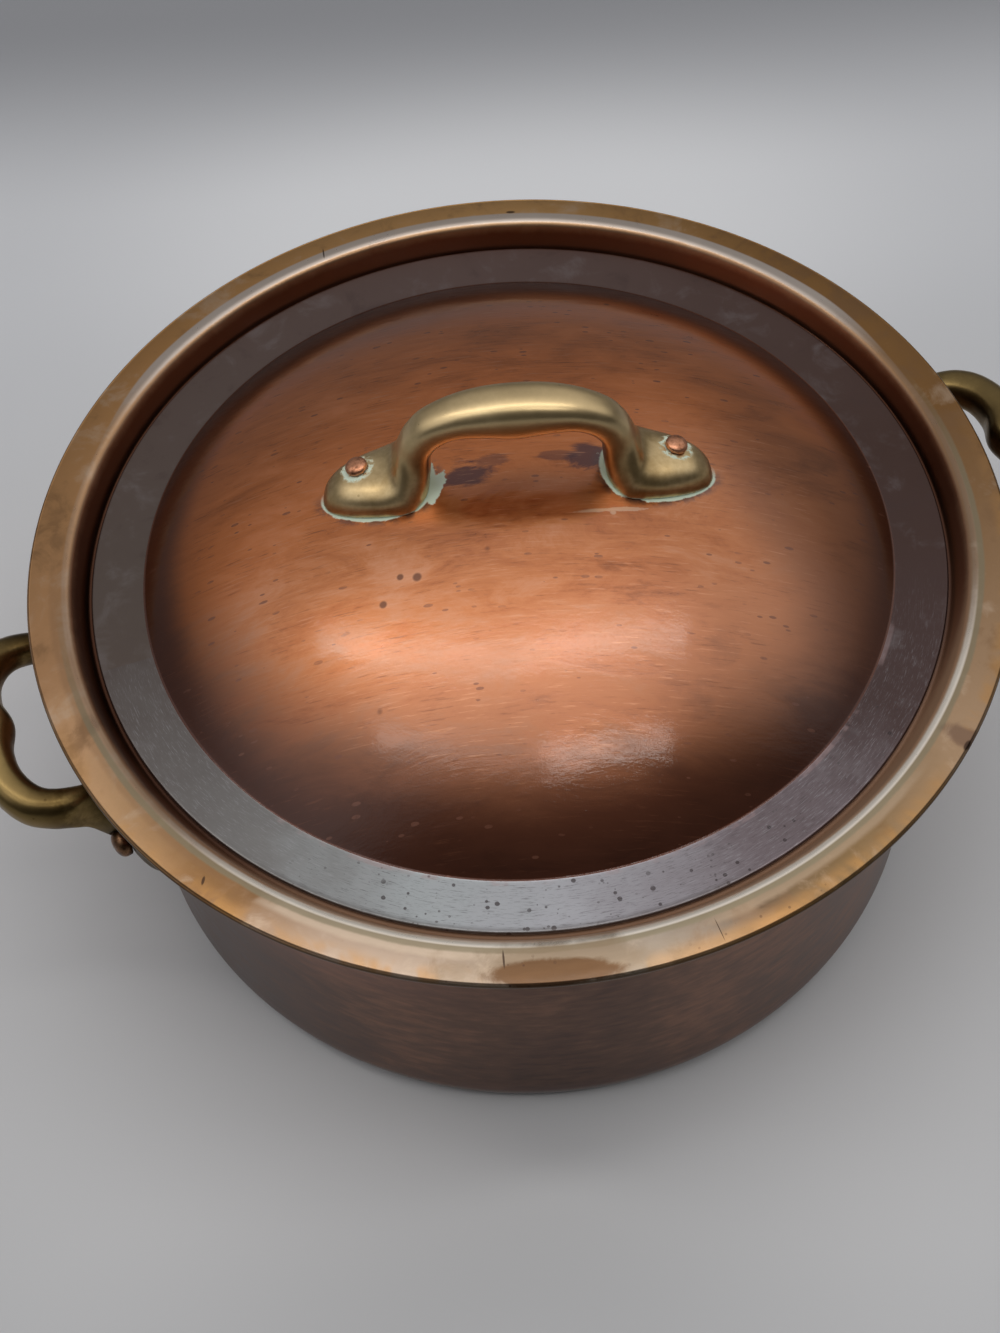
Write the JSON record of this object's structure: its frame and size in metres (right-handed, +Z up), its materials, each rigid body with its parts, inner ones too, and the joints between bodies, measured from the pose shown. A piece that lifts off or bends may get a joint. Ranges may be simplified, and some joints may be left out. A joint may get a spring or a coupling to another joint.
{
  "type": "casserole pot",
  "caption": "Round copper casserole pot with a turned-out rim, loop handles riveted under it, and a domed lid that drops into the rim and lifts off by a bow handle.",
  "frame": {"origin": "middle of the flat base, on the surface that the pot stands on", "axes": "+Z up along the pot's axis, +X through the side handles, +Y to the back"},
  "size_m": [0.3334, 0.282, 0.1827],
  "materials": {
    "pot_copper": "dark brown, aged copper, semi-matte, tinned inside",
    "lid_copper": "burnished orange copper dome with a grey, tarnished ring",
    "cast_brass": "cast brass, worn smooth, dull gold",
    "rivet_copper": "hammered copper rivet head"
  },
  "bodies": {
    "pot": {"pot_body": "pot_copper", "side_handle_left": "cast_brass", "side_handle_right": "cast_brass", "left_handle_rivet_front": "rivet_copper", "left_handle_rivet_back": "rivet_copper", "right_handle_rivet_front": "rivet_copper", "right_handle_rivet_back": "rivet_copper"},
    "lid": {"lid": "lid_copper", "lid_handle": "cast_brass", "lid_rivet_left": "rivet_copper", "lid_rivet_right": "rivet_copper"}
  },
  "joints": [
    {"name": "lid_lift", "type": "slide", "parent": "pot", "child": "lid", "axis": [0, 0, 1], "range_m": [0, 0.12]}
  ]
}
